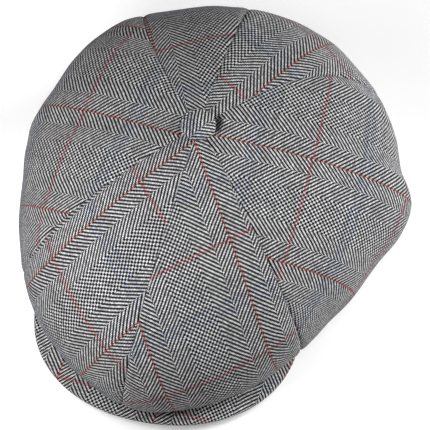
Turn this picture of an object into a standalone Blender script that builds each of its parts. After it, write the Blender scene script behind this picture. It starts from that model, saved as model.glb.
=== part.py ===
"""Baker boy cap: a soft six-panel crown, a covered top button, a short peak and a head band.

Metres, +Z up, resting on z = 0. The peak points along -Y, and the wearer's left is +X.
Every outer face of the crown comes from one function, crown_point(), which reads the
short table SECTIONS: one row for each upright section through the top button.
"""

from collections import namedtuple
from math import asin, atan2, copysign, cos, degrees, pi, radians, sin, sqrt, tau

import bmesh
import bpy
from mathutils import Vector

MM = 0.001

# Places in plan, which centre the cap's bounding box on the origin
BAND_CENTRE = (-14.8 * MM, 3.5 * MM)
BUTTON_BEHIND_BAND_CENTRE = 31.0 * MM

# Cloth and seams
CLOTH = 1.8 * MM
SEAM_GAP = 0.3 * MM
BAND_GAP = 0.6 * MM
SEAM_DEPTH = 1.2 * MM
SEAM_WIDTH = 9.0 * MM

# Crown
CROWN_TOP = 110.0 * MM
CENTRE_HOLE = 3.0 * MM
CROWN_SEAM_HEIGHT = 24.0 * MM

Section = namedtuple("Section", "azimuth reach edge_height doming tuck_height")
# azimuth: degrees about the button, 0 at the front and 90 at the wearer's left
# reach: mm from the button's axis to the widest line, whose height is edge_height
# doming: how flat the top stays before it turns down, 1 a cone and 4 nearly a tray
# tuck_height: mm, how low the cloth hangs as it turns under to the band
SECTIONS = [
    Section(0, 190, 32, 2.0, 14),
    Section(25, 173, 34, 2.0, 13),
    Section(50, 154, 36, 2.5, 14),
    Section(70, 152, 38, 2.5, 16),
    Section(90, 161, 40, 2.0, 18),
    Section(100, 151, 42, 2.5, 18),
    Section(120, 146, 46, 3.0, 19),
    Section(140, 138, 52, 3.5, 20),
    Section(170, 127, 55, 3.5, 20),
    Section(200, 122, 54, 2.5, 20),
    Section(225, 127, 52, 2.0, 19),
    Section(250, 126, 46, 1.5, 17),
    Section(270, 131, 38, 1.25, 14),
    Section(290, 134, 30, 1.5, 10),
    Section(310, 149, 24, 1.5, 8),
    Section(335, 172, 22, 1.75, 10),
]

Seam = namedtuple("Seam", "at_button at_half at_edge")
# Each crown seam's azimuth in degrees beside the button, halfway out and at the widest line
SEAMS = {
    "centre_front": Seam(-4.3, -4.5, -4.2),
    "front_left": Seam(43.5, 40.0, 40.0),
    "back_left": Seam(134.0, 133.0, 122.0),
    "centre_back": Seam(175.5, 173.8, 174.0),
    "back_right": Seam(220.5, 219.0, 212.5),
    "front_right": Seam(311.5, 312.2, 314.0),
}

# Mesh steps
DOME_ROWS = 16
TUCK_ROWS = 9
NARROW_COLUMNS = 10
WIDE_COLUMNS = 18

# Head band: an oval wall whose lower rim arches up where the peak is sewn on
BAND_HALF_WIDTH = 82.0 * MM
BAND_HALF_LENGTH = 101.0 * MM
BAND_WALL = 2.2 * MM
BAND_HEIGHT = 28.0 * MM
BAND_ARCH = 9.0 * MM
BAND_ARCH_SPAN = 58.0
BAND_COLUMNS = 80

# Peak: an arched crescent between the band and an oval outline
PEAK_HALF_WIDTH = 99.5 * MM
PEAK_SQUARENESS = 2.08
PEAK_SKEW = 0.03
PEAK_LENGTH = 83.0 * MM
PEAK_CORNER = 48.0 * MM
PEAK_OVAL_CENTRE = (0.6 * MM, -80.0 * MM)
PEAK_END_TURN = 132.0
PEAK_ROOT_TURN = 61.0
PEAK_THICKNESS = 3.2 * MM
PEAK_ARCH = 12.0 * MM
PEAK_LOW = 0.3 * MM
PEAK_GAP = 1.2 * MM
PEAK_COLUMNS = 36
PEAK_ROWS = 4

# Top button
BUTTON_RADIUS = 12.3 * MM
BUTTON_RISE = 5.2 * MM
BUTTON_EDGE = 2.0 * MM

Cloth = namedtuple("Cloth", "name colour roughness")
CLOTHS = {
    "crown": Cloth("tweed_crown", (0.20, 0.19, 0.19), 0.92),
    "button": Cloth("tweed_button", (0.18, 0.17, 0.17), 0.92),
    "peak": Cloth("tweed_peak", (0.21, 0.20, 0.20), 0.90),
    "band": Cloth("tweed_band", (0.17, 0.16, 0.16), 0.94),
}


def clear_scene():
    for item in list(bpy.data.objects):
        bpy.data.objects.remove(item)


def make_material(cloth):
    material = bpy.data.materials.new(cloth.name)
    material.use_nodes = True
    shader = material.node_tree.nodes["Principled BSDF"]
    shader.inputs["Base Color"].default_value = (*cloth.colour, 1.0)
    shader.inputs["Roughness"].default_value = cloth.roughness
    shader.inputs["Metallic"].default_value = 0.0
    return material


def smooth_step(low, high, value):
    t = min(max((value - low) / (high - low), 0.0), 1.0)
    return t * t * (3.0 - 2.0 * t)


def cubic(t, before, start, end, after):
    """A smooth curve from start to end; each argument after t is an (x, value) pair."""
    span = end[0] - start[0]
    leave = (end[1] - before[1]) / (end[0] - before[0]) * span
    arrive = (after[1] - start[1]) / (after[0] - start[0]) * span
    t2 = t * t
    t3 = t2 * t
    return (
        (2 * t3 - 3 * t2 + 1) * start[1]
        + (t3 - 2 * t2 + t) * leave
        + (3 * t2 - 2 * t3) * end[1]
        + (t3 - t2) * arrive
    )


def section_at(azimuth):
    """The crown's section at any azimuth in degrees, smoothly between the table's rows."""
    azimuth = azimuth % 360.0
    count = len(SECTIONS)
    row = max(i for i in range(count) if SECTIONS[i].azimuth <= azimuth)

    def key(step, column):
        turns, index = divmod(row + step, count)
        return SECTIONS[index].azimuth + 360.0 * turns, SECTIONS[index][column]

    start = key(0, 0)[0]
    end = key(1, 0)[0]
    t = (azimuth - start) / (end - start)
    values = [
        cubic(t, key(-1, c), key(0, c), key(1, c), key(2, c))
        for c in range(1, len(Section._fields))
    ]
    return Section(azimuth, *values)


def band_reach(azimuth):
    """Distance in plan from the button's axis out to the band's outer face."""
    east = sin(radians(azimuth))
    north = -cos(radians(azimuth))
    a = (east / BAND_HALF_WIDTH) ** 2 + (north / BAND_HALF_LENGTH) ** 2
    b = BUTTON_BEHIND_BAND_CENTRE * north / BAND_HALF_LENGTH**2
    c = (BUTTON_BEHIND_BAND_CENTRE / BAND_HALF_LENGTH) ** 2 - 1.0
    return (-b + sqrt(b * b - a * c)) / a


def seam_azimuth(seam, along):
    """A seam's azimuth in plan, a smooth bend through its three values; constant underneath."""
    t = min(along, 1.0)
    bend = 2.0 * (seam.at_button - 2.0 * seam.at_half + seam.at_edge)
    return seam.at_button + (seam.at_edge - seam.at_button - bend) * t + bend * t * t


def crown_profile(azimuth, along):
    """Radius and height on one section: along runs 0 to 1 over the dome, 1 to 2 underneath."""
    section = section_at(azimuth)
    reach = section.reach * MM
    edge = section.edge_height * MM
    if along <= 1.0:
        dome = sqrt(max(1.0 - along**section.doming, 0.0))
        return reach * along, edge + (CROWN_TOP - edge) * dome
    t = along - 1.0
    low = section.tuck_height * MM
    inner = band_reach(azimuth) + BAND_GAP
    inward = inner + 0.40 * (reach - inner)
    weights = ((1 - t) ** 3, 3 * t * (1 - t) ** 2, 3 * t * t * (1 - t), t**3)
    radius = sum(w * v for w, v in zip(weights, (reach, reach, inward, inner)))
    height = sum(w * v for w, v in zip(weights, (edge, low, low, CROWN_SEAM_HEIGHT)))
    return radius, height


def crown_point(azimuth, along):
    """A point of the crown's smooth outer face, before the seams draw it in."""
    radius, height = crown_profile(azimuth, along)
    x = BAND_CENTRE[0] + radius * sin(radians(azimuth))
    y = BAND_CENTRE[1] + BUTTON_BEHIND_BAND_CENTRE - radius * cos(radians(azimuth))
    return Vector((x, y, height))


def crown_normal(azimuth, along):
    step_round = 0.5
    step_along = 0.01
    lower = max(along - step_along, 0.02)
    upper = min(along + step_along, 2.0)
    round_way = crown_point(azimuth + step_round, along)
    round_way -= crown_point(azimuth - step_round, along)
    out_way = crown_point(azimuth, upper) - crown_point(azimuth, lower)
    return out_way.cross(round_way).normalized()


def seam_inset(from_seam, radius, along):
    """How far the cloth lies under the smooth crown, from_seam degrees away from a seam."""
    if along > 1.0:
        fade = 1.0 - smooth_step(1.5, 2.0, along)
    else:
        fade = smooth_step(0.0, 0.15, along)
    distance = radius * sin(radians(min(from_seam, 60.0)))
    return SEAM_DEPTH * fade * max(1.0 - distance / SEAM_WIDTH, 0.0) ** 2


def along_steps():
    """The rows of a panel: close together where the crown turns over its edge."""
    dome = [1.0 - (1.0 - i / DOME_ROWS) ** 1.6 for i in range(DOME_ROWS + 1)]
    tuck = [1.0 + ((i + 1) / TUCK_ROWS) ** 1.15 for i in range(TUCK_ROWS)]
    return dome + tuck


def column_share(i, count):
    """Share of a panel's width at column i: closer together beside the seams."""
    t = i / count
    return t - 0.09 * sin(tau * t)


def panel_vertex(start_seam, end_seam, share, along):
    start = seam_azimuth(start_seam, along)
    turn = (seam_azimuth(end_seam, along) - start) % 360.0
    middle = start + 0.5 * turn
    radius = max(crown_profile(middle, along)[0], CENTRE_HOLE)
    if along < 0.5:
        along = max(along, CENTRE_HOLE / (section_at(middle).reach * MM))
    margin = degrees(asin(0.5 * SEAM_GAP / radius))
    own = margin + (turn - 2.0 * margin) * share
    inset = seam_inset(min(own, turn - own), radius, along)
    return crown_point(start + own, along) - inset * crown_normal(start + own, along)


def grid_object(name, columns, rows, place):
    """A primitive grid whose vertex at column i and row j is moved to place(i, j)."""
    bpy.ops.mesh.primitive_grid_add(x_subdivisions=columns, y_subdivisions=rows, size=2.0)
    item = bpy.context.object
    item.name = name
    item.data.name = name
    for vertex in item.data.vertices:
        i = round((vertex.co.x + 1.0) / 2.0 * columns)
        j = round((vertex.co.y + 1.0) / 2.0 * rows)
        vertex.co = place(i, j)
    item.data.update()
    return item


def thicken(item, thickness, outer_face_up):
    """Give an open surface its wall, on the side away from its normals."""
    solid = item.modifiers.new("wall", "SOLIDIFY")
    solid.thickness = thickness
    solid.offset = -1.0 if outer_face_up else 1.0
    solid.use_even_offset = True
    solid.use_quality_normals = True


def finish(item, cloth, smooth_faces=True):
    item.data.materials.clear()
    item.data.materials.append(MATERIALS[cloth])
    for polygon in item.data.polygons:
        polygon.use_smooth = smooth_faces
    for collection in list(item.users_collection):
        collection.objects.unlink(item)
    CAP.objects.link(item)


def build_crown_panel(name, start_seam, end_seam, columns):
    """One panel of the crown, from the centre hole out, over the edge and in to the band."""
    steps = along_steps()

    def place(i, j):
        return panel_vertex(SEAMS[start_seam], SEAMS[end_seam], column_share(i, columns), steps[j])

    panel = grid_object(name, columns, len(steps) - 1, place)
    thicken(panel, CLOTH, outer_face_up=False)
    finish(panel, "crown")


def build_crown():
    build_crown_panel("crown_panel_front_left", "centre_front", "front_left", NARROW_COLUMNS)
    build_crown_panel("crown_panel_side_left", "front_left", "back_left", WIDE_COLUMNS)
    build_crown_panel("crown_panel_back_left", "back_left", "centre_back", NARROW_COLUMNS)
    build_crown_panel("crown_panel_back_right", "centre_back", "back_right", NARROW_COLUMNS)
    build_crown_panel("crown_panel_side_right", "back_right", "front_right", WIDE_COLUMNS)
    build_crown_panel("crown_panel_front_right", "front_right", "centre_front", NARROW_COLUMNS)


def band_point(azimuth, height_share):
    """A point on the band's outer face; azimuth is measured about the band's own centre."""
    turn = radians(azimuth)
    from_front = abs((azimuth + 180.0) % 360.0 - 180.0)
    arch = BAND_ARCH * (1.0 - smooth_step(0.0, BAND_ARCH_SPAN, from_front))
    x = BAND_CENTRE[0] + BAND_HALF_WIDTH * sin(turn)
    y = BAND_CENTRE[1] - BAND_HALF_LENGTH * cos(turn)
    return Vector((x, y, arch + (BAND_HEIGHT - arch) * height_share))


def build_head_band():
    bpy.ops.mesh.primitive_cylinder_add(
        vertices=BAND_COLUMNS, radius=1.0, depth=2.0, end_fill_type="NOTHING"
    )
    band = bpy.context.object
    band.name = "head_band"
    band.data.name = "head_band"
    for vertex in band.data.vertices:
        azimuth = degrees(atan2(vertex.co.x, -vertex.co.y))
        vertex.co = band_point(azimuth, 0.5 + 0.5 * vertex.co.z)
    thicken(band, BAND_WALL, outer_face_up=True)
    finish(band, "band")


def peak_outer(turn):
    """The peak's outer edge in plan from the band's centre; turn is 0 at the tip."""
    east = sin(radians(turn))
    north = -cos(radians(turn))
    length = PEAK_LENGTH if abs(turn) < 90.0 else PEAK_CORNER
    power = 2.0 / PEAK_SQUARENESS
    x = PEAK_HALF_WIDTH * copysign(abs(east) ** power, east)
    y = length * copysign(abs(north) ** power, north) + PEAK_SKEW * x
    return Vector((PEAK_OVAL_CENTRE[0] + x, PEAK_OVAL_CENTRE[1] + y, 0.0))


def peak_root(turn):
    """The peak's inner edge in plan, which follows the band's outer face with a gap."""
    x = (BAND_HALF_WIDTH + PEAK_GAP) * sin(radians(turn))
    y = -(BAND_HALF_LENGTH + PEAK_GAP) * cos(radians(turn))
    return Vector((x, y, 0.0))


def peak_height(x):
    """Height of the peak's lower face: an arch that comes down to the table at its sides."""
    share = min(abs(x) / PEAK_HALF_WIDTH, 1.0)
    return PEAK_LOW + PEAK_ARCH * (1.0 - share**2)


def build_peak():
    def place(i, j):
        share = 2.0 * i / PEAK_COLUMNS - 1.0
        root = peak_root(PEAK_ROOT_TURN * share)
        outer = peak_outer(PEAK_END_TURN * share)
        point = root.lerp(outer, j / PEAK_ROWS)
        top = peak_height(point.x) + PEAK_THICKNESS
        return Vector((BAND_CENTRE[0] + point.x, BAND_CENTRE[1] + point.y, top))

    peak = grid_object("peak", PEAK_COLUMNS, PEAK_ROWS, place)
    thicken(peak, PEAK_THICKNESS, outer_face_up=False)
    finish(peak, "peak")


def build_top_button():
    """A covered button: a low cone-like cap with a rolled edge, turned about its own axis."""
    rise = BUTTON_RISE
    edge = BUTTON_EDGE
    radius = BUTTON_RADIUS
    mesh = bpy.data.meshes.new("top_button")
    button = bpy.data.objects.new("top_button", mesh)
    bpy.context.collection.objects.link(button)
    profile = bmesh.new()
    outline = [(0.0, 0.0), (radius - 0.8 * MM, 0.0)]
    for step in range(5):
        turn = -0.25 * pi + step * 0.1875 * pi
        outline.append((radius - edge * (1.0 - cos(turn)), edge * (1.0 + sin(turn))))
    for share in (0.62, 0.32, 0.0):
        outline.append((radius * share, edge * 1.9 + (rise - edge * 0.9) * (1.0 - share**1.7)))
    points = [profile.verts.new((x, 0.0, z)) for x, z in outline]
    for first, second in zip(points, points[1:]):
        profile.edges.new((first, second))
    profile.to_mesh(mesh)
    profile.free()
    turned = button.modifiers.new("turned", "SCREW")
    turned.axis = "Z"
    turned.angle = tau
    turned.steps = 24
    turned.render_steps = 24
    turned.use_merge_vertices = True
    turned.merge_threshold = 0.00001
    turned.use_normal_calculate = True
    top = CROWN_TOP + SEAM_GAP
    button.location = (BAND_CENTRE[0], BAND_CENTRE[1] + BUTTON_BEHIND_BAND_CENTRE, top)
    finish(button, "button")


clear_scene()
CAP = bpy.data.collections.new("baker_boy_cap")
bpy.context.scene.collection.children.link(CAP)
MATERIALS = {use: make_material(cloth) for use, cloth in CLOTHS.items()}
build_crown()
build_head_band()
build_peak()
build_top_button()
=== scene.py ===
"""Looks of the baker boy cap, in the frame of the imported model.

Six crown panels, the peak, the top button and the head band are cut from one herringbone
check. Each crown panel has a lay, which says how the cloth's warp and weft run over it.
The tables are in millimetres and degrees, and the camera, lamps, floor and meshes in metres.
"""

from collections import namedtuple
from math import ceil, cos, pi, radians, sin, tau

import bpy
import numpy as np
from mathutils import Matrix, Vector


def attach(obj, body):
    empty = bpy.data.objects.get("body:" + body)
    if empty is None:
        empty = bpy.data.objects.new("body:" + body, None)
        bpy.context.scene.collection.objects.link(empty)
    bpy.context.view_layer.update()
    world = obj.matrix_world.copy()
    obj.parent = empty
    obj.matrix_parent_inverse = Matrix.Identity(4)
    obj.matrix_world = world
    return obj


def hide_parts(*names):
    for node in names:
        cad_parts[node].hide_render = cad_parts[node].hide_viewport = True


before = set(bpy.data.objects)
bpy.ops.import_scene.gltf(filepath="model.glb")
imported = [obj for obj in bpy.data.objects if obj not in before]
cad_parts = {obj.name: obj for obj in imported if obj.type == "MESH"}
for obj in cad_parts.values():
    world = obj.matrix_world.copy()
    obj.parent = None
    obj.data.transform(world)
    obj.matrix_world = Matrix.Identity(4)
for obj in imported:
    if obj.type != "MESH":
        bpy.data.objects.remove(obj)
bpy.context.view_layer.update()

BODY = "root"
MM = 0.001

# Camera, at the photograph's angle
CAMERA_AZIMUTH = 12.4
CAMERA_ELEVATION = 68.1
CAMERA_DISTANCE = 1.1
CAMERA_TARGET = Vector((0.0092, -0.0186, 0.0834))
CAMERA_LENS = 129.77

# Places in plan, and sizes that the CAD model has too, in millimetres
BAND_CENTRE = np.array((-14.8, 3.5))
BUTTON_BEHIND_BAND_CENTRE = 31.0
BUTTON_AXIS = BAND_CENTRE + (0.0, BUTTON_BEHIND_BAND_CENTRE)
CROWN_TOP = 110.0
CROWN_SEAM_HEIGHT = 24.0
CLOTH = 1.8
PANEL_TO_BAND = 0.15
TUCK_FULLNESS = 0.40
BAND_HALF_WIDTH = 82.0
BAND_HALF_LENGTH = 101.0

Section = namedtuple("Section", "azimuth reach edge_height doming tuck_height")
# The crown's upright sections through the button, as in the CAD source
SECTIONS = [
    Section(0, 190, 32, 2.0, 14),
    Section(25, 173, 34, 2.0, 13),
    Section(50, 154, 36, 2.5, 14),
    Section(70, 152, 38, 2.5, 16),
    Section(90, 161, 40, 2.0, 18),
    Section(100, 151, 42, 2.5, 18),
    Section(120, 146, 46, 3.0, 19),
    Section(140, 138, 52, 3.5, 20),
    Section(170, 127, 55, 3.5, 20),
    Section(200, 122, 54, 2.5, 20),
    Section(225, 127, 52, 2.0, 19),
    Section(250, 126, 46, 1.5, 17),
    Section(270, 131, 38, 1.25, 14),
    Section(290, 134, 30, 1.5, 10),
    Section(310, 149, 24, 1.5, 8),
    Section(335, 172, 22, 1.75, 10),
]

Seam = namedtuple("Seam", "at_button at_half at_edge")
SEAMS = {
    "centre_front": Seam(-4.3, -4.5, -4.2),
    "front_left": Seam(43.5, 40.0, 40.0),
    "back_left": Seam(134.0, 133.0, 122.0),
    "centre_back": Seam(175.5, 173.8, 174.0),
    "back_right": Seam(220.5, 219.0, 212.5),
    "front_right": Seam(311.5, 312.2, 314.0),
}

# The check: 96 warp ends by 96 weft picks in each repeat, of one size but on the button
REPEAT = 96.0
CHECK_WIDE = 79.0
CHECK_LONG = 85.0
Lay = namedtuple("Lay", "axis warp_turn weft_turn warp_start weft_start weft_bow turned")
# axis: azimuth the panel is laid out along; warp_turn, weft_turn: degrees off it;
# warp_start, weft_start: where a red end and a pink pick pass; weft_bow: how far the
# picks curve 100 mm away; turned: cut the other way up
LAYS = {
    "front_left": Lay(19, 13, 20, -6, 83, -2, False),
    "side_left": Lay(85, 6, 3, -4, 84, -4, False),
    "back_left": Lay(153, -6, -5, -10, 39, 4, False),
    "back_right": Lay(196, 8, 9, 18, 70, 0, False),
    "side_right": Lay(266, -7, -11, 10, 89, -4, True),
    "front_right": Lay(334, -15, -23, 7, 54, 12, True),
}

Cut = namedtuple("Cut", "start_seam end_seam columns")
PANELS = {
    "front_left": Cut("centre_front", "front_left", 72),
    "side_left": Cut("front_left", "back_left", 130),
    "back_left": Cut("back_left", "centre_back", 72),
    "back_right": Cut("centre_back", "back_right", 72),
    "side_right": Cut("back_right", "front_right", 130),
    "front_right": Cut("front_right", "centre_front", 72),
}

# Mesh steps and relief of the crown
DOME_ROWS = 132
TUCK_ROWS = 50
CENTRE_RADIUS = 2.0
SEAM_DEPTH = 0.9
SEAM_WIDTH = 9.0
GROOVE_DEPTH = 0.55
GROOVE_WIDTH = 1.6
ALLOWANCE = 7.0
ALLOWANCE_RISE = 0.18
PUCKER_HEIGHT = 0.14
GATHER_HEIGHT = 0.55
# How far a panel's columns crowd towards its seams
CROWDING = 0.12


def smooth_step(low, high, value):
    t = np.clip((value - low) / (high - low), 0.0, 1.0)
    return t * t * (3.0 - 2.0 * t)


def section_at(azimuth):
    """The crown's section at an array of azimuths, smoothly between the table's rows."""
    rows = np.array(SECTIONS, float)
    rows = np.concatenate([rows[-1:] - (360, 0, 0, 0, 0), rows, rows[:3] + (360, 0, 0, 0, 0)])
    azimuth = azimuth % 360.0
    at = np.searchsorted(rows[:, 0], azimuth, side="right") - 1
    before, start, end, after = (rows[at + step] for step in (-1, 0, 1, 2))
    span = (end[..., 0] - start[..., 0])[..., None]
    t = (azimuth - start[..., 0])[..., None] / span
    leave = (end - before) / (end[..., :1] - before[..., :1]) * span
    arrive = (after - start) / (after[..., :1] - start[..., :1]) * span
    t2, t3 = t * t, t * t * t
    values = (2 * t3 - 3 * t2 + 1) * start + (t3 - 2 * t2 + t) * leave
    values += (3 * t2 - 2 * t3) * end + (t3 - t2) * arrive
    return [values[..., column] for column in range(1, 5)]


def band_reach(azimuth):
    """Distance in plan from the button's axis out to the band's outer face."""
    east = np.sin(np.radians(azimuth))
    north = -np.cos(np.radians(azimuth))
    a = (east / BAND_HALF_WIDTH) ** 2 + (north / BAND_HALF_LENGTH) ** 2
    b = BUTTON_BEHIND_BAND_CENTRE * north / BAND_HALF_LENGTH**2
    c = (BUTTON_BEHIND_BAND_CENTRE / BAND_HALF_LENGTH) ** 2 - 1.0
    return (-b + np.sqrt(b * b - a * c)) / a


def seam_azimuth(seam, along):
    t = np.minimum(along, 1.0)
    bend = 2.0 * (seam.at_button - 2.0 * seam.at_half + seam.at_edge)
    return seam.at_button + (seam.at_edge - seam.at_button - bend) * t + bend * t * t


def crown_point(azimuth, along):
    """Points of the smooth crown: along runs 0 to 1 over the dome, 1 to 2 underneath."""
    reach, edge, doming, low = section_at(azimuth)
    out = np.minimum(along, 1.0)
    dome_height = edge + (CROWN_TOP - edge) * np.sqrt(np.maximum(1.0 - out**doming, 0.0))
    t = np.clip(along - 1.0, 0.0, 1.0)
    inner = band_reach(azimuth) + PANEL_TO_BAND
    inward = inner + TUCK_FULLNESS * (reach - inner)
    w = ((1 - t) ** 3, 3 * t * (1 - t) ** 2, 3 * t * t * (1 - t), t**3)
    tuck_radius = w[0] * reach + w[1] * reach + w[2] * inward + w[3] * inner
    tuck_height = w[0] * edge + w[1] * low + w[2] * low + w[3] * CROWN_SEAM_HEIGHT
    radius = np.where(along <= 1.0, reach * out, tuck_radius)
    height = np.where(along <= 1.0, dome_height, tuck_height)
    x = BUTTON_AXIS[0] + radius * np.sin(np.radians(azimuth))
    y = BUTTON_AXIS[1] - radius * np.cos(np.radians(azimuth))
    return np.stack([x, y, height], -1)


def grid_normals(points):
    """Unit normals of a grid of points, rows running outward and columns anticlockwise."""
    out = np.gradient(points, axis=0)
    across = np.gradient(points, axis=1)
    normal = np.cross(out, across)
    return normal / np.maximum(np.linalg.norm(normal, axis=-1, keepdims=True), 1e-9)


Wave = namedtuple("Wave", "heading length height phase")
# Slow swells of the cloth in plan: heading in degrees, length and height in mm
SWELLS = [
    Wave(20, 71, 0.35, 0.4),
    Wave(75, 57, 0.30, 2.1),
    Wave(130, 43, 0.22, 4.0),
    Wave(165, 34, 0.16, 1.2),
    Wave(48, 27, 0.10, 5.1),
    Wave(100, 19, 0.06, 3.3),
]


def swell(points):
    """Height of the slow swells under each point."""
    total = 0.0
    for wave in SWELLS:
        heading = radians(wave.heading)
        run = points[..., 0] * cos(heading) + points[..., 1] * sin(heading)
        run = run + 9.0 * np.sin(points[..., 1] / 31.0 + wave.phase)
        total = total + wave.height * np.sin(tau * run / wave.length + wave.phase)
    return total


Crease = namedtuple("Crease", "x y heading half_length half_width height")
# Folds that the photograph shows, in plan: centre, direction, size, and height above the
# smooth crown, which is negative for a dip
CREASES = [
    Crease(-2.8, 39.2, 100, 6.5, 3.0, -4.6),
    Crease(-100, 34, 8, 48, 9, -1.6),
    Crease(-104, 52, 12, 42, 10, 0.9),
]


def crease_relief(points):
    total = 0.0
    for fold in CREASES:
        heading = radians(fold.heading)
        east = points[..., 0] - fold.x
        north = points[..., 1] - fold.y
        run = (east * cos(heading) + north * sin(heading)) / fold.half_length
        side = (north * cos(heading) - east * sin(heading)) / fold.half_width
        total = total + fold.height * np.exp(-(run**2) - side**2)
    return total


def seam_relief(distance, travel, along):
    """Height beside a seam: the drawn-in valley, the turned edge and small puckers."""
    fade = np.where(along > 1.0, 1.0 - smooth_step(1.5, 2.0, along), smooth_step(0.0, 0.15, along))
    valley = SEAM_DEPTH * np.maximum(1.0 - distance / SEAM_WIDTH, 0.0) ** 2
    groove = GROOVE_DEPTH * np.maximum(1.0 - distance / GROOVE_WIDTH, 0.0) ** 1.6
    inside = 1.0 - smooth_step(ALLOWANCE - 1.5, ALLOWANCE, distance)
    ridge = ALLOWANCE_RISE * smooth_step(0.5, 2.5, distance) * inside
    ripple = np.sin(travel / 1.9 + 1.3 * np.sin(travel / 7.3)) + 0.6 * np.sin(travel / 3.3 + 2.0)
    pucker = PUCKER_HEIGHT * ripple * np.exp(-distance / 4.0) * smooth_step(0.0, 1.0, distance)
    return (ridge + pucker - valley - groove) * fade


def gather_relief(azimuth, along):
    """Soft gathers underneath, where the crown is eased on to the band."""
    near_band = smooth_step(1.35, 1.9, along)
    turn = np.radians(azimuth)
    coarse = np.sin(37 * turn + 1.2 * np.sin(5 * turn))
    fine = 0.6 * np.sin(61 * turn + 2.0 * np.sin(3 * turn))
    return GATHER_HEIGHT * near_band * (coarse + fine)


def along_steps():
    share = np.arange(DOME_ROWS + 1) / DOME_ROWS
    dome = 1.0 - (1.0 - 0.5 * share * (1.0 + share)) ** 1.6
    tuck = 1.0 + (np.arange(1, TUCK_ROWS + 1) / TUCK_ROWS) ** 1.15
    return np.concatenate([dome, tuck])


def unroll(axis, azimuth, points):
    """Places across and along a panel, in mm, when it is unrolled flat along its axis.

    Each level line of the panel unrolls to an arc of its own length, which is a full circle's
    where the cloth lies level, straight where it stands upright, and turns back underneath.
    """
    radius = np.hypot(points[..., 0] - BUTTON_AXIS[0], points[..., 1] - BUTTON_AXIS[1])
    steps = np.linalg.norm(np.diff(points, axis=0), axis=-1)
    run = radius[:1] + np.concatenate([np.zeros_like(steps[:1]), np.cumsum(steps, axis=0)])
    widening = np.gradient(radius, axis=0) / np.maximum(np.gradient(run, axis=0), 1e-6)
    side = np.radians((azimuth - axis + 180.0) % 360.0 - 180.0)
    bend = np.clip(widening, -1.0, 1.0) * side
    u = radius * side * np.sinc(bend / pi)
    v = run - 0.5 * radius * side * bend * np.sinc(0.5 * bend / pi) ** 2
    return u, v


def lay_cloth(lay, u, v):
    """Warp and weft counts over an unrolled panel."""
    warp, weft = radians(lay.warp_turn), radians(lay.weft_turn)
    ends = u * cos(warp) - v * sin(warp) - lay.warp_start
    picks = u * sin(weft) + v * cos(weft) - lay.weft_start + lay.weft_bow * (u / 100.0) ** 2
    return count_yarns(ends / CHECK_WIDE, picks / CHECK_LONG, lay.turned)


def count_yarns(warp_repeats, weft_repeats, turned):
    """Repeats to numbers of yarns; a piece cut the other way up counts them backwards."""
    ends, picks = REPEAT * warp_repeats, REPEAT * weft_repeats
    if turned:
        ends, picks = -ends, 2.0 - picks
    return np.stack([ends, picks], -1)


def grid_faces(rows, columns, closed=False):
    """Quads of a grid, facing up where rows run outward and columns anticlockwise."""
    quads = []
    for row in range(rows - 1):
        for column in range(columns if closed else columns - 1):
            after = (column + 1) % columns
            start, end = row * columns, (row + 1) * columns
            quads.append((start + column, end + column, end + after, start + after))
    return quads


def add_map(mesh, name, places):
    """A UV map from one place for each vertex."""
    corners = np.zeros(len(mesh.loops), int)
    mesh.loops.foreach_get("vertex_index", corners)
    layer = mesh.uv_layers.new(name=name)
    layer.data.foreach_set("uv", places.reshape(-1, 2)[corners].astype(np.float32).ravel())


def make_piece(name, points, yarns, faces, material, spread=None):
    """A mesh object from points in mm, with the yarn counts as its UV map.

    spread lays its grid out from 0 to 1, in a second UV map named OFBake.
    """
    mesh = bpy.data.meshes.new(name)
    mesh.from_pydata((points.reshape(-1, 3) * MM).tolist(), [], faces)
    add_map(mesh, "cloth", yarns)
    if spread is not None:
        add_map(mesh, "OFBake", spread)
    mesh.polygons.foreach_set("use_smooth", np.ones(len(mesh.polygons), bool))
    mesh.materials.append(material)
    piece = bpy.data.objects.new(name, mesh)
    bpy.context.scene.collection.objects.link(piece)
    return piece


def add_wall(piece, thickness):
    """Thickness under the outer face."""
    wall = piece.modifiers.new("wall", "SOLIDIFY")
    wall.thickness = thickness * MM
    wall.offset = -1.0
    wall.use_quality_normals = True


def dress(piece, node):
    """The piece rides on the cap and stands for its CAD node, which it hides."""
    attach(piece, BODY)
    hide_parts(node)


def travelled(points):
    """Distance along a row of points from its first."""
    steps = np.linalg.norm(np.diff(points, axis=0), axis=-1)
    return np.concatenate([[0.0], np.cumsum(steps)])


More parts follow.
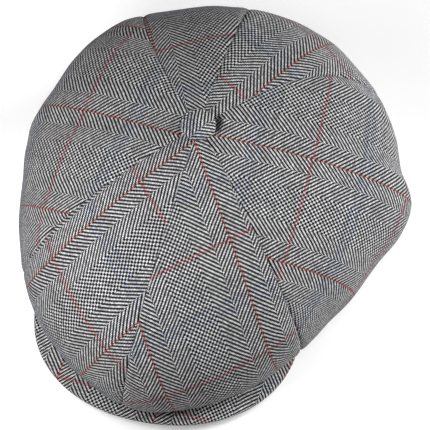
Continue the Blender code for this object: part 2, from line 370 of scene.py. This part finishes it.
def crown_panel(name, cut, lay, material):
    """One crown panel, from under the button out, over the edge and in to the band."""
    along = along_steps()[:, None]
    share = np.arange(cut.columns + 1) / cut.columns
    share = (share - CROWDING * np.sin(tau * share))[None, :]
    start = seam_azimuth(SEAMS[cut.start_seam], along)
    turn = (seam_azimuth(SEAMS[cut.end_seam], along) - start) % 360.0
    own = turn * share
    azimuth = start + own
    least = CENTRE_RADIUS / section_at(azimuth)[0]
    along = np.maximum(along, least)
    smooth = crown_point(azimuth, along)
    normal = grid_normals(smooth)
    radius = np.hypot(smooth[..., 0] - BUTTON_AXIS[0], smooth[..., 1] - BUTTON_AXIS[1])
    from_seam = np.minimum(own, turn - own)
    distance = radius * np.sin(np.radians(np.minimum(from_seam, 60.0)))
    travel = travelled(smooth[:, 0])[:, None]
    clear_of_seam = smooth_step(2.0, 16.0, distance)
    clear_of_button = smooth_step(12.0, 45.0, radius)
    clear_of_band = 1.0 - smooth_step(1.6, 2.0, along)
    relief = seam_relief(distance, travel, along)
    relief = relief + swell(smooth) * clear_of_seam * clear_of_button * clear_of_band
    relief = relief + crease_relief(smooth) * (1.0 - smooth_step(1.2, 1.6, along))
    relief = relief + gather_relief(azimuth, along) * clear_of_seam
    points = smooth + relief[..., None] * normal
    across, along_axis = unroll(lay.axis, azimuth, smooth)
    yarns = lay_cloth(lay, across, along_axis)
    faces = grid_faces(points.shape[0], points.shape[1])
    node = "crown_panel_" + name
    run = travel / travel[-1]
    spread = np.stack([share + 0 * run, run + 0 * share], -1)
    panel = make_piece("cloth_" + node, points, yarns, faces, material, spread)
    add_wall(panel, CLOTH)
    dress(panel, node)
    return panel


# Peak: the CAD's arched crescent with a rounded edge all round
PEAK_HALF_WIDTH = 99.5
PEAK_SQUARENESS = 2.08
PEAK_SKEW = 0.03
PEAK_LENGTH = 83.0
PEAK_CORNER = 48.0
PEAK_OVAL_CENTRE = np.array((0.6, -80.0))
PEAK_END_TURN = 132.0
PEAK_ROOT_TURN = 61.0
PEAK_THICKNESS = 3.2
PEAK_ARCH = 12.0
PEAK_LOW = 0.3
PEAK_GAP = 0.3
PEAK_EDGE_ROUND = 1.9
PEAK_COLUMNS = 150
PEAK_ROWS = 56
# Its cloth: the red end that runs down its middle, the pink pick near its edge
PEAK_RED_AT = np.array((-5.2, -150.0))
PEAK_WARP_LEAN = 0.136
PEAK_WEFT_LEAN = 0.09
PEAK_PINK_Y = -145.0


def peak_outline(share):
    """Root and outer edge of the peak in plan, for shares from -1 to 1 across it."""
    root_turn = np.radians(PEAK_ROOT_TURN * share)
    root_x = (BAND_HALF_WIDTH + PEAK_GAP) * np.sin(root_turn)
    root_y = -(BAND_HALF_LENGTH + PEAK_GAP) * np.cos(root_turn)
    east = np.sin(np.radians(PEAK_END_TURN * share))
    north = -np.cos(np.radians(PEAK_END_TURN * share))
    power = 2.0 / PEAK_SQUARENESS
    length = np.where(north < 0.0, PEAK_LENGTH, PEAK_CORNER)
    x = PEAK_HALF_WIDTH * np.sign(east) * np.abs(east) ** power
    y = length * np.sign(north) * np.abs(north) ** power + PEAK_SKEW * x
    root = np.stack([root_x, root_y], -1)
    outer = np.stack([x, y], -1) + PEAK_OVAL_CENTRE
    return root, outer


def peak(material):
    share = np.sin(np.linspace(-1.0, 1.0, PEAK_COLUMNS + 1) * pi / 2)[None, :]
    share = 0.35 * share + 0.65 * np.linspace(-1.0, 1.0, PEAK_COLUMNS + 1)[None, :]
    out = (1.0 - np.cos(np.linspace(0.0, 1.0, PEAK_ROWS + 1) * pi))[:, None] / 2
    root, outer = peak_outline(share)
    plan = root + (outer - root) * out[..., None]
    length = np.linalg.norm(outer - root, axis=-1)
    end_run = np.linalg.norm(plan - plan[:, :1], axis=-1)
    other_end_run = np.linalg.norm(plan - plan[:, -1:], axis=-1)
    inset = np.minimum(out, 1.0 - out) * length
    inset = np.minimum(inset, np.minimum(end_run, other_end_run))
    close = np.clip(inset / PEAK_EDGE_ROUND, 0.0, 1.0)
    half = 0.5 * PEAK_THICKNESS * np.sqrt(1.0 - (1.0 - close) ** 2)
    across = np.minimum(np.abs(plan[..., 0]) / PEAK_HALF_WIDTH, 1.0)
    middle = PEAK_LOW + PEAK_ARCH * (1.0 - across**2) + 0.5 * PEAK_THICKNESS
    world = plan + BAND_CENTRE
    top = np.concatenate([world, (middle + half)[..., None]], -1)
    bottom = np.concatenate([world, (middle - half)[..., None]], -1)
    outward = (outer - root) / np.maximum(length, 1.0)[..., None]
    over_edge = np.where(out > 0.5, 0.5 * PEAK_THICKNESS - half, 0.0)
    flat = world + outward * over_edge[..., None]
    red = PEAK_RED_AT[0] + PEAK_WARP_LEAN * (flat[..., 1] - PEAK_RED_AT[1])
    ends = (flat[..., 0] - red) / CHECK_WIDE
    picks = (PEAK_PINK_Y - PEAK_WEFT_LEAN * flat[..., 0] - flat[..., 1]) / CHECK_LONG
    yarns = count_yarns(ends, picks, True)
    faces = grid_faces(PEAK_ROWS + 1, PEAK_COLUMNS + 1)
    count = top.shape[0] * top.shape[1]
    under = [tuple(count + k for k in reversed(face)) for face in faces]
    points = np.concatenate([top.reshape(-1, 3), bottom.reshape(-1, 3)])
    yarns = np.concatenate([yarns.reshape(-1, 2)] * 2)
    spread = np.stack([0.5 + 0.5 * share + 0 * out, out + 0 * share], -1)
    spread = np.concatenate([spread.reshape(-1, 2)] * 2)
    piece = make_piece("cloth_peak", points, yarns, faces + under, material, spread)
    weld = piece.modifiers.new("edge", "WELD")
    weld.merge_threshold = 0.01 * MM
    dress(piece, "peak")
    return piece


# Head band
BAND_WALL = 2.2
BAND_HEIGHT = 28.0
BAND_ARCH = 9.0
BAND_ARCH_SPAN = 58.0
BAND_COLUMNS = 260
BAND_ROWS = 26
BAND_RIM_ROWS = 8
# Its join at the back, half its width in degrees, and how far down the check starts
BAND_JOIN_RISE = 0.5
BAND_JOIN_WIDTH = 0.8
BAND_CHECK_START = 20.0


def head_band(material):
    """An oval wall with a turned, rounded lower rim; the warp runs up it, joined at the back."""
    turn = np.linspace(-180.0, 180.0, BAND_COLUMNS + 1)[None, :]
    angle = np.radians(turn)
    arch = BAND_ARCH * (1.0 - smooth_step(0.0, BAND_ARCH_SPAN, np.abs(turn)))
    half = 0.5 * BAND_WALL
    rise = np.linspace(1.0, 0.0, BAND_ROWS + 1)[:, None]
    curl = np.linspace(0.0, pi, BAND_RIM_ROWS + 1)[1:-1][:, None]
    outer_height = arch + half + (BAND_HEIGHT - arch - half) * rise
    rim_height = arch + half - half * np.sin(curl)
    heights = np.concatenate([outer_height, rim_height, outer_height[::-1]])
    insets = np.concatenate([0 * rise, half * (1.0 - np.cos(curl)), 2 * half + 0 * rise])
    join = np.exp(-((180.0 - np.abs(turn)) / BAND_JOIN_WIDTH) ** 2)
    insets = insets + BAND_JOIN_RISE * join * (1.0 - insets / BAND_WALL)
    x = BAND_CENTRE[0] + (BAND_HALF_WIDTH - insets) * np.sin(angle)
    y = BAND_CENTRE[1] - (BAND_HALF_LENGTH - insets) * np.cos(angle)
    points = np.stack([x, y, heights + 0 * x], -1)
    oval = [BAND_HALF_WIDTH * np.sin(angle[0]), BAND_HALF_LENGTH * np.cos(angle[0])]
    girth = travelled(np.stack(oval, -1))
    drop = travelled(points[:, 0])[:, None]
    ends = (girth - 0.5 * girth[-1])[None, :] / CHECK_WIDE + 0 * drop
    picks = (drop + BAND_CHECK_START) / CHECK_LONG + 0 * ends
    faces = grid_faces(points.shape[0], points.shape[1])
    piece = make_piece("cloth_head_band", points, count_yarns(ends, picks, False), faces, material)
    weld = piece.modifiers.new("join", "WELD")
    weld.merge_threshold = 0.01 * MM
    dress(piece, "head_band")
    return piece


# Top button
BUTTON_RADIUS = 12.3
BUTTON_RISE = 5.2
BUTTON_EDGE = 2.5
BUTTON_COLUMNS = 144
BUTTON_ROWS = 60
BUTTON_WARP_HEADING = 52.0
# Where one stripe of the check ends, mm right of the button's centre, and its end count
BUTTON_STRIPE_AT = 4.8
BUTTON_STRIPE_END = 80.0
BUTTON_BLUE_AT = -3.0
BUTTON_BLUE_PICK = 44.5
# Its cloth's own pitch of ends and picks, and its gap over the crown
BUTTON_END_PITCH = 0.8125
BUTTON_PICK_PITCH = 0.865
BUTTON_GAP = 0.3
# Share of its rows that are on the domed top
BUTTON_TOP_SHARE = 0.62


def button_profile(share):
    """Radius and height of the button's side, from its top centre round to its underside."""
    radius, edge = BUTTON_RADIUS, BUTTON_EDGE
    top = share <= BUTTON_TOP_SHARE
    t = np.clip(share / BUTTON_TOP_SHARE, 0.0, 1.0)
    shoulder = radius - edge * (1.0 - cos(0.5 * pi))
    lens = edge * 1.9 + (BUTTON_RISE - edge * 0.9) * (1.0 - t**1.9)
    s = np.clip((share - BUTTON_TOP_SHARE) / (1.0 - BUTTON_TOP_SHARE), 0.0, 1.0)
    turn = 0.5 * pi - s * 0.95 * pi
    side_radius = shoulder + edge * np.cos(turn)
    side_height = edge * 0.95 + edge * 0.95 * np.sin(turn)
    return np.where(top, shoulder * t, side_radius), np.where(top, lens, side_height)


def top_button(material):
    """A covered button: a low dome whose cloth is gathered under its rolled edge."""
    share = np.linspace(0.0, 1.0, BUTTON_ROWS + 1)[:, None]
    turn = np.linspace(0.0, tau, BUTTON_COLUMNS, endpoint=False)[None, :]
    radius, height = button_profile(share)
    gathers = np.sin(17 * turn + 0.8 * np.sin(3 * turn)) + 0.5 * np.sin(29 * turn + 1.0)
    pull = 0.22 * gathers * smooth_step(0.45, 0.85, share)
    lump = 0.18 * np.sin(2 * turn + 0.7) * smooth_step(0.1, 0.5, share)
    radius = radius * (1.0 - 0.02 * np.cos(2 * turn)) + pull * smooth_step(0.5, 0.8, share)
    height = height + lump + 0.5 * pull * (1.0 - smooth_step(0.7, 1.0, share))
    x = BUTTON_AXIS[0] + radius * np.sin(turn)
    y = BUTTON_AXIS[1] - radius * np.cos(turn)
    points = np.stack([x, y, CROWN_TOP + BUTTON_GAP + height + 0 * x], -1)
    heading = radians(BUTTON_WARP_HEADING)
    run = travelled(np.stack([radius[:, 0], height[:, 0]], -1))[:, None]
    east, north = run * np.sin(turn), -run * np.cos(turn)
    right = east * sin(heading) - north * cos(heading)
    ahead = east * cos(heading) + north * sin(heading)
    ends = (BUTTON_STRIPE_END + (right - BUTTON_STRIPE_AT) / BUTTON_END_PITCH) / REPEAT
    picks = (BUTTON_BLUE_PICK - (ahead - BUTTON_BLUE_AT) / BUTTON_PICK_PITCH) / REPEAT
    faces = grid_faces(points.shape[0], points.shape[1], closed=True)
    piece = make_piece("cloth_top_button", points, count_yarns(ends, picks, False), faces, material)
    weld = piece.modifiers.new("centre", "WELD")
    weld.merge_threshold = 0.01 * MM
    dress(piece, "top_button")
    return piece


# Yarn colours, as linear values
INK = (0.008, 0.008, 0.010, 1.0)
CHALK = (0.62, 0.62, 0.63, 1.0)
BLUSH = (0.60, 0.50, 0.50, 1.0)
RED = (0.46, 0.115, 0.095, 1.0)
# painted shade: the weft where the red end buries it, dark and reddish
RED_END_PAINTED_SHADE = (0.16, 0.055, 0.05, 1.0)
PINK = (0.64, 0.36, 0.39, 1.0)
PINK_SHADE = (0.06, 0.018, 0.022, 1.0)
BLUE = (0.505, 0.535, 0.605, 1.0)


class Shader:
    """A material's node tree, with short calls that add a node and return its output."""

    def __init__(self, name):
        self.material = bpy.data.materials.new(name)
        self.material.use_nodes = True
        self.tree = self.material.node_tree
        self.surface = self.tree.nodes["Principled BSDF"]

    def node(self, kind, inputs, **settings):
        made = self.tree.nodes.new("ShaderNode" + kind)
        for name, value in settings.items():
            setattr(made, name, value)
        for key, value in inputs.items():
            if isinstance(value, bpy.types.NodeSocket):
                self.tree.links.new(value, made.inputs[key])
            else:
                made.inputs[key].default_value = value
        return made

    def math(self, operation, *values):
        return self.node("Math", dict(enumerate(values)), operation=operation).outputs[0]

    def vector(self, x, y, z=0.0):
        return self.node("CombineXYZ", {0: x, 1: y, 2: z}).outputs[0]

    def noise(self, vector, scale, detail=2.0):
        made = self.node("TexNoise", {"Vector": vector, "Scale": scale, "Detail": detail})
        return made.outputs[0]

    def chance(self, place):
        """A number from 0 to 1 that is the same all over each whole place."""
        return self.node("TexWhiteNoise", {"Vector": place}, noise_dimensions="3D").outputs["Value"]

    def mix(self, share, first, second):
        """A number between two, by share."""
        made = self.node("Mix", {0: share, 2: first, 3: second})
        return made.outputs[0]

    def mix_colour(self, share, first, second, blend="MIX"):
        made = self.node("Mix", {0: share, 6: first, 7: second}, data_type="RGBA", blend_type=blend)
        return made.outputs[2]

    def either(self, first, second):
        return self.math("MAXIMUM", first, second)

    def within(self, value, low, high):
        """1 where low <= value < high."""
        below = self.math("LESS_THAN", value, high)
        above = self.math("GREATER_THAN", value, low - 0.001)
        return self.math("MULTIPLY", below, above)


def tweed(name, painted_light_factor=1.0, roughness=0.94):
    """The herringbone check, from the counts of warp ends and weft picks in the UV map."""
    s = Shader(name)
    counts = s.node("UVMap", {}, uv_map="cloth").outputs[0]
    split = s.node("SeparateXYZ", {0: counts})
    u, v = split.outputs[0], split.outputs[1]

    # The yarns wander a little
    slow_u = s.math("SUBTRACT", s.noise(s.vector(u, v, 3.0), 0.035), 0.5)
    slow_v = s.math("SUBTRACT", s.noise(s.vector(u, v, 9.0), 0.035), 0.5)
    quick_u = s.math("SUBTRACT", s.noise(s.vector(u, v, 15.0), 0.45), 0.5)
    quick_v = s.math("SUBTRACT", s.noise(s.vector(u, v, 21.0), 0.45), 0.5)
    u = s.math("ADD", u, s.math("MULTIPLY_ADD", slow_u, 1.6, s.math("MULTIPLY", quick_u, 0.6)))
    v = s.math("ADD", v, s.math("MULTIPLY_ADD", slow_v, 1.6, s.math("MULTIPLY", quick_v, 0.6)))

    end, pick = s.math("FLOOR", u), s.math("FLOOR", v)
    in_end, in_pick = s.math("FRACT", u), s.math("FRACT", v)
    place = s.math("FLOORED_MODULO", end, REPEAT)
    zone = s.math("FLOOR", s.math("DIVIDE", place, 16.0))
    falls = s.math("LESS_THAN", s.math("FLOORED_MODULO", zone, 4.0), 0.5)
    dots = s.within(zone, 2.0, 3.5)

    # Twill: each end passes over two picks and under two, and steps one pick each end
    way = s.math("MULTIPLY_ADD", falls, -2.0, 1.0)
    step = s.math("FLOORED_MODULO", s.math("MULTIPLY_ADD", way, pick, end), 4.0)
    twill_warp = s.math("LESS_THAN", step, 1.5)
    warp_float = s.math("ADD", s.mix(falls, step, s.math("SUBTRACT", 1.0, step)), in_pick)
    weft_float = s.math("ADD", s.math("SUBTRACT", step, 2.0), in_end)

    # Dots: pairs of ends over pairs of picks
    end_pair = s.math("FLOOR", s.math("DIVIDE", end, 2.0))
    pick_pair = s.math("FLOOR", s.math("DIVIDE", pick, 2.0))
    pair = s.math("ADD", end_pair, pick_pair)
    dot_warp = s.math("LESS_THAN", s.math("FLOORED_MODULO", pair, 2.0), 0.5)
    warp_on_top = s.mix(dots, twill_warp, dot_warp)
    warp_run = s.mix(dots, warp_float, s.math("FLOORED_MODULO", v, 2.0))
    weft_run = s.mix(dots, weft_float, s.math("FLOORED_MODULO", u, 2.0))

    # Height: each float bulges along its run and is round across
    run = s.mix(warp_on_top, weft_run, warp_run)
    bulge = s.math("SINE", s.math("MULTIPLY", run, pi / 2))
    across = s.mix(warp_on_top, in_pick, in_end)
    off_centre = s.math("ABSOLUTE", s.math("MULTIPLY_ADD", across, 2.0, -1.0))
    round_yarn = s.math("SUBTRACT", 1.0, s.math("MULTIPLY", off_centre, off_centre))
    lift = s.math("MULTIPLY_ADD", bulge, 0.75, 0.25)
    height = s.math("MULTIPLY", round_yarn, lift)

    # Colour: dark warp with a red end, pale weft with pink and blue picks; the weft blushes
    # beside the red end and, where the red end buries it, takes a reddish painted shade
    red_end = s.within(place, 95.0, 95.5)
    beside_red = s.either(s.within(place, 0.0, 0.5), s.within(place, 94.0, 94.5))
    pick_place = s.math("FLOORED_MODULO", pick, REPEAT)
    pink_pick = s.math("LESS_THAN", pick_place, 1.5)
    beside_pink = s.either(s.within(pick_place, 95.0, 95.5), s.within(pick_place, 2.0, 2.5))
    blue_pick = s.either(s.within(pick_place, 43.0, 46.5), s.within(pick_place, 50.0, 53.5))
    warp_colour = s.mix_colour(red_end, s.mix_colour(pink_pick, INK, PINK_SHADE), RED)
    weft_colour = s.mix_colour(blue_pick, s.mix_colour(pink_pick, CHALK, PINK), BLUE)
    weft_colour = s.mix_colour(s.either(beside_red, beside_pink), weft_colour, BLUSH)
    weft_colour = s.mix_colour(red_end, weft_colour, RED_END_PAINTED_SHADE)
    colour = s.mix_colour(warp_on_top, weft_colour, warp_colour)

    # Tone: each yarn's and each float's own, slubs along it, fibres, and shade in the gaps
    yarn = s.mix(warp_on_top, pick, end)
    yarn_tone = s.chance(s.vector(yarn, warp_on_top, 7.0))
    float_start = s.math("ROUND", s.math("SUBTRACT", s.mix(warp_on_top, u, v), run))
    float_tone = s.chance(s.vector(yarn, float_start, warp_on_top))
    slub_warp = s.noise(s.vector(s.math("MULTIPLY", end, 5.3), s.math("MULTIPLY", v, 0.16), 2.0), 1.0)
    slub_weft = s.noise(s.vector(s.math("MULTIPLY", u, 0.16), s.math("MULTIPLY", pick, 5.3), 6.0), 1.0)
    slub = s.mix(warp_on_top, slub_weft, slub_warp)
    fibre = s.noise(s.vector(s.math("MULTIPLY", u, 3.1), s.math("MULTIPLY", v, 3.1), 1.0), 1.0, 3.0)
    tone = s.math("MULTIPLY_ADD", yarn_tone, 0.22, 0.32)
    tone = s.math("ADD", tone, s.math("MULTIPLY", float_tone, 0.56))
    tone = s.math("ADD", tone, s.math("MULTIPLY", slub, 0.40))
    tone = s.math("ADD", tone, s.math("MULTIPLY", s.math("SUBTRACT", fibre, 0.5), 0.7))
    # Painted shade: tone falls towards each yarn's edges, into the gaps between yarns, and the tweed's
    # light factor scales it all, as painted light above 1 and painted shade below 1
    tone = s.math("MULTIPLY", tone, s.math("MULTIPLY_ADD", height, 1.05 * painted_light_factor, 0.10 * painted_light_factor))
    grey = s.node("CombineColor", {0: tone, 1: tone, 2: tone}).outputs[0]
    colour = s.mix_colour(1.0, colour, grey, "MULTIPLY")
    s.tree.links.new(colour, s.surface.inputs["Base Color"])

    # Roughness and relief
    dry = s.math("MULTIPLY_ADD", fibre, 0.10, roughness - 0.05)
    s.tree.links.new(dry, s.surface.inputs["Roughness"])
    relief = s.math("MULTIPLY_ADD", fibre, 0.25, height)
    bump = s.node("Bump", {"Strength": 0.55, "Distance": 0.35 * MM, "Height": relief})
    s.tree.links.new(bump.outputs[0], s.surface.inputs["Normal"])
    s.surface.inputs["Specular IOR Level"].default_value = 0.2
    return s.material


def build_cap():
    crown_cloth = tweed("tweed_crown")
    # painted shade: a copy of the crown tweed at 0.86 of its tone, which darkens the back right panel
    painted_shade_cloth = tweed("tweed_crown_back_right_painted_shade", painted_light_factor=0.86)
    for name, cut in PANELS.items():
        cloth = painted_shade_cloth if name == "back_right" else crown_cloth
        crown_panel(name, cut, LAYS[name], cloth)
    # painted light: the peak's tweed at 1.18 of the crown's tone, lighter
    peak(tweed("tweed_peak", painted_light_factor=1.18))
    head_band(tweed("tweed_band"))
    top_button(tweed("tweed_button"))


# Studio
FLOOR_SIZE = 4.0
FLOOR_COLOUR = (0.85, 0.85, 0.85, 1.0)
FLOOR_GLOW = 0.3
WORLD_LIGHT = 0.03
BACKDROP_LIGHT = 0.85
Lamp = namedtuple("Lamp", "azimuth elevation distance size power")
LAMPS = [
    Lamp(315, 40, 0.30, 0.15, 0.9),
    Lamp(90, 50, 0.25, 0.15, 0.3),
    Lamp(270, 35, 0.35, 0.15, 0.5),
    Lamp(120, 20, 2.2, 1.2, 70),
]


def toward(azimuth, elevation):
    """Unit vector from the cap to a camera or lamp."""
    a, e = radians(azimuth), radians(elevation)
    return Vector((sin(a) * cos(e), -cos(a) * cos(e), sin(e)))


def aim(item, target, azimuth, elevation, distance):
    back = toward(azimuth, elevation)
    item.location = target + back * distance
    item.rotation_mode = "QUATERNION"
    item.rotation_quaternion = (-back).to_track_quat("-Z", "Y")
    bpy.context.scene.collection.objects.link(item)


def build_studio():
    mesh = bpy.data.meshes.new("floor")
    half = 0.5 * FLOOR_SIZE
    corners = [(-half, -half, 0), (half, -half, 0), (half, half, 0), (-half, half, 0)]
    mesh.from_pydata(corners, [], [(0, 1, 2, 3)])
    floor = bpy.data.objects.new("floor", mesh)
    bpy.context.scene.collection.objects.link(floor)
    paint = bpy.data.materials.new("floor_paint")
    paint.use_nodes = True
    surface = paint.node_tree.nodes["Principled BSDF"]
    surface.inputs["Base Color"].default_value = FLOOR_COLOUR
    surface.inputs["Roughness"].default_value = 0.9
    surface.inputs["Specular IOR Level"].default_value = 0.1
    surface.inputs["Emission Color"].default_value = FLOOR_COLOUR
    surface.inputs["Emission Strength"].default_value = FLOOR_GLOW
    mesh.materials.append(paint)
    world = bpy.data.worlds.new("studio")
    world.use_nodes = True
    sky = world.node_tree.nodes["Background"]
    sky.inputs["Color"].default_value = (1.0, 1.0, 1.0, 1.0)
    seen = world.node_tree.nodes.new("ShaderNodeLightPath")
    strength = world.node_tree.nodes.new("ShaderNodeMapRange")
    strength.inputs["To Min"].default_value = WORLD_LIGHT
    strength.inputs["To Max"].default_value = BACKDROP_LIGHT
    world.node_tree.links.new(seen.outputs["Is Camera Ray"], strength.inputs["Value"])
    world.node_tree.links.new(strength.outputs[0], sky.inputs["Strength"])
    bpy.context.scene.world = world
    for number, lamp in enumerate(LAMPS):
        light = bpy.data.lights.new("softbox_%d" % number, "AREA")
        light.size = lamp.size
        light.energy = lamp.power
        item = bpy.data.objects.new(light.name, light)
        item.visible_camera = False
        aim(item, CAMERA_TARGET, lamp.azimuth, lamp.elevation, lamp.distance)


def build_camera():
    camera = bpy.data.cameras.new("camera")
    camera.sensor_width = 36.0
    camera.lens = CAMERA_LENS
    camera.clip_start = 0.05
    camera.clip_end = 30.0
    item = bpy.data.objects.new("camera", camera)
    aim(item, CAMERA_TARGET, CAMERA_AZIMUTH, CAMERA_ELEVATION, CAMERA_DISTANCE)
    bpy.context.scene.camera = item


build_camera()
build_cap()
build_studio()
bpy.context.scene.view_settings.view_transform = "Standard"

bpy.context.view_layer.update()
